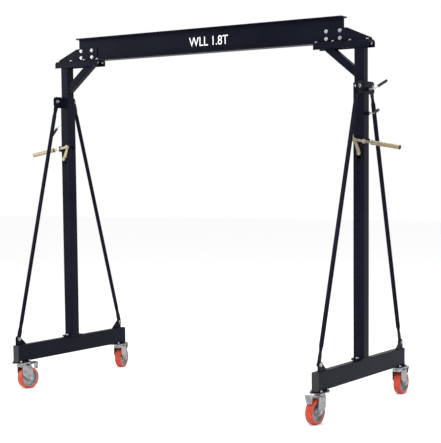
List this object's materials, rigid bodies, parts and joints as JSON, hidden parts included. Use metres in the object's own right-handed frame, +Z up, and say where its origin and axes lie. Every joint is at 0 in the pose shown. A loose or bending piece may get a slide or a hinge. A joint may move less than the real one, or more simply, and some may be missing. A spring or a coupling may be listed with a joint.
{
  "type": "portable gantry crane",
  "caption": "Portable gantry crane with wheeled A-frame stands, telescoping masts with lock pins and levers, and an overhead I-beam.",
  "frame": {"origin": "centre of the crane's footprint on the floor, midway between the two stands and between the front and rear casters", "axes": "+X along the I-beam towards the right stand, +Y towards the rear, +Z up"},
  "size_m": [2.9708, 1.3681, 2.486],
  "materials": {
    "frame_paint": "semi-gloss near-black blue powder coat, worn a little at the edges",
    "zinc": "bright zinc plate",
    "yellow_zinc": "yellow passivated zinc plate",
    "caster_zinc": "pressed steel, zinc plated, satin",
    "wheel_core": "cast core, silver-grey paint",
    "tread": "moulded polyurethane, satin",
    "grip": "dipped black vinyl rubber",
    "cap": "moulded black plastic, fine grain"
  },
  "bodies": {
    "stands": {"left_base_beam": "frame_paint", "right_base_beam": "frame_paint", "left_outer_upright": "frame_paint", "right_outer_upright": "frame_paint", "left_front_brace": "frame_paint", "left_rear_brace": "frame_paint", "right_front_brace": "frame_paint", "right_rear_brace": "frame_paint", "base_end_caps": "cap", "brace_lugs": "frame_paint", "brace_bolts": "zinc", "foot_bolts": "zinc", "caster_bolts": "zinc", "mast_guides_and_stops": "frame_paint", "lever_pivot_bolts": "zinc", "fulcrum_brackets": "frame_paint", "mount_plates": "frame_paint", "caster_plates": "caster_zinc"},
    "lift": {"i_beam": "frame_paint", "left_inner_mast": "frame_paint", "right_inner_mast": "frame_paint", "left_saddle": "frame_paint", "right_saddle": "frame_paint", "left_knee_brace": "frame_paint", "right_knee_brace": "frame_paint", "gusset_plates": "frame_paint", "web_bolts": "zinc", "saddle_bolts": "zinc"},
    "left_lever": {"left_lift_lever": "yellow_zinc"},
    "left_dog": {"left_lift_dog": "yellow_zinc"},
    "left_upper_pin": {"left_upper_lock_pin": "zinc", "left_upper_pin_grip": "grip"},
    "left_lower_pin": {"left_lower_lock_pin": "zinc", "left_lower_pin_grip": "grip"},
    "right_lever": {"right_lift_lever": "yellow_zinc"},
    "right_dog": {"right_lift_dog": "yellow_zinc"},
    "right_upper_pin": {"right_upper_lock_pin": "zinc", "right_upper_pin_grip": "grip"},
    "right_lower_pin": {"right_lower_lock_pin": "zinc", "right_lower_pin_grip": "grip"},
    "front_right_swivel": {"front_right_fork": "caster_zinc", "front_right_axle_and_pin": "zinc"},
    "front_right_wheel": {"front_right_wheel_core": "wheel_core", "front_right_tread": "tread"},
    "front_right_pedal": {"front_right_brake_pedal": "caster_zinc"},
    "rear_right_swivel": {"rear_right_fork": "caster_zinc", "rear_right_axle_and_pin": "zinc"},
    "rear_right_wheel": {"rear_right_wheel_core": "wheel_core", "rear_right_tread": "tread"},
    "rear_right_pedal": {"rear_right_brake_pedal": "caster_zinc"},
    "front_left_swivel": {"front_left_fork": "caster_zinc", "front_left_axle_and_pin": "zinc"},
    "front_left_wheel": {"front_left_wheel_core": "wheel_core", "front_left_tread": "tread"},
    "front_left_pedal": {"front_left_brake_pedal": "caster_zinc"},
    "rear_left_swivel": {"rear_left_fork": "caster_zinc", "rear_left_axle_and_pin": "zinc"},
    "rear_left_wheel": {"rear_left_wheel_core": "wheel_core", "rear_left_tread": "tread"},
    "rear_left_pedal": {"rear_left_brake_pedal": "caster_zinc"}
  },
  "joints": [
    {"name": "beam_lift", "type": "slide", "parent": "stands", "child": "lift", "axis": [0, 0, 1], "range_m": [0, 1.2]},
    {"name": "left_lever_swing", "type": "hinge", "parent": "stands", "child": "left_lever", "pos_m": [-1.243, -0.0444, 1.697], "axis": [0, -1, 0], "range_deg": [-35, 12]},
    {"name": "left_dog_pivot", "type": "hinge", "parent": "left_lever", "child": "left_dog", "pos_m": [-1.17, -0.041, 1.70987], "axis": [0, -1, 0], "range_deg": [-12, 35]},
    {"name": "left_upper_pin_slide", "type": "slide", "parent": "stands", "child": "left_upper_pin", "axis": [1, 0, 0], "range_m": [0, 0.02]},
    {"name": "left_lower_pin_slide", "type": "slide", "parent": "stands", "child": "left_lower_pin", "axis": [1, 0, 0], "range_m": [0, 0.02]},
    {"name": "right_lever_swing", "type": "hinge", "parent": "stands", "child": "right_lever", "pos_m": [1.243, -0.0444, 1.697], "axis": [0, 1, 0], "range_deg": [-35, 12]},
    {"name": "right_dog_pivot", "type": "hinge", "parent": "right_lever", "child": "right_dog", "pos_m": [1.17, -0.041, 1.70987], "axis": [0, 1, 0], "range_deg": [-12, 35]},
    {"name": "right_upper_pin_slide", "type": "slide", "parent": "stands", "child": "right_upper_pin", "axis": [-1, 0, 0], "range_m": [0, 0.02]},
    {"name": "right_lower_pin_slide", "type": "slide", "parent": "stands", "child": "right_lower_pin", "axis": [-1, 0, 0], "range_m": [0, 0.02]},
    {"name": "front_right_swivel_turn", "type": "hinge", "parent": "stands", "child": "front_right_swivel", "pos_m": [1.195, -0.555, 0.17], "axis": [0, 0, 1], "continuous": true},
    {"name": "front_right_wheel_spin", "type": "hinge", "parent": "front_right_swivel", "child": "front_right_wheel", "pos_m": [1.19137, -0.60687, 0.076], "axis": [-0.9976, 0.0698, 0], "continuous": true},
    {"name": "front_right_pedal_press", "type": "hinge", "parent": "front_right_swivel", "child": "front_right_pedal", "pos_m": [1.1913, -0.60787, 0.161], "axis": [0.9976, -0.0698, 0], "range_deg": [0, 8]},
    {"name": "rear_right_swivel_turn", "type": "hinge", "parent": "stands", "child": "rear_right_swivel", "pos_m": [1.195, 0.555, 0.17], "axis": [0, 0, 1], "continuous": true},
    {"name": "rear_right_wheel_spin", "type": "hinge", "parent": "rear_right_swivel", "child": "rear_right_wheel", "pos_m": [1.195, 0.607, 0.076], "axis": [1, 0, 0], "continuous": true},
    {"name": "rear_right_pedal_press", "type": "hinge", "parent": "rear_right_swivel", "child": "rear_right_pedal", "pos_m": [1.195, 0.608, 0.161], "axis": [-1, 0, 0], "range_deg": [0, 8]},
    {"name": "front_left_swivel_turn", "type": "hinge", "parent": "stands", "child": "front_left_swivel", "pos_m": [-1.195, -0.555, 0.17], "axis": [0, 0, 1], "continuous": true},
    {"name": "front_left_wheel_spin", "type": "hinge", "parent": "front_left_swivel", "child": "front_left_wheel", "pos_m": [-1.1833, -0.50433, 0.076], "axis": [0.9744, -0.225, 0], "continuous": true},
    {"name": "front_left_pedal_press", "type": "hinge", "parent": "front_left_swivel", "child": "front_left_pedal", "pos_m": [-1.18308, -0.50336, 0.161], "axis": [-0.9744, 0.225, 0], "range_deg": [0, 8]},
    {"name": "rear_left_swivel_turn", "type": "hinge", "parent": "stands", "child": "rear_left_swivel", "pos_m": [-1.195, 0.555, 0.17], "axis": [0, 0, 1], "continuous": true},
    {"name": "rear_left_wheel_spin", "type": "hinge", "parent": "rear_left_swivel", "child": "rear_left_wheel", "pos_m": [-1.2067, 0.60567, 0.076], "axis": [0.9744, 0.225, 0], "continuous": true},
    {"name": "rear_left_pedal_press", "type": "hinge", "parent": "rear_left_swivel", "child": "rear_left_pedal", "pos_m": [-1.20692, 0.60664, 0.161], "axis": [-0.9744, -0.225, 0], "range_deg": [0, 8]}
  ],
  "couplings": [
    {"joint": "left_dog_pivot", "follows": "left_lever_swing", "ratio": -1},
    {"joint": "right_dog_pivot", "follows": "right_lever_swing", "ratio": -1}
  ]
}
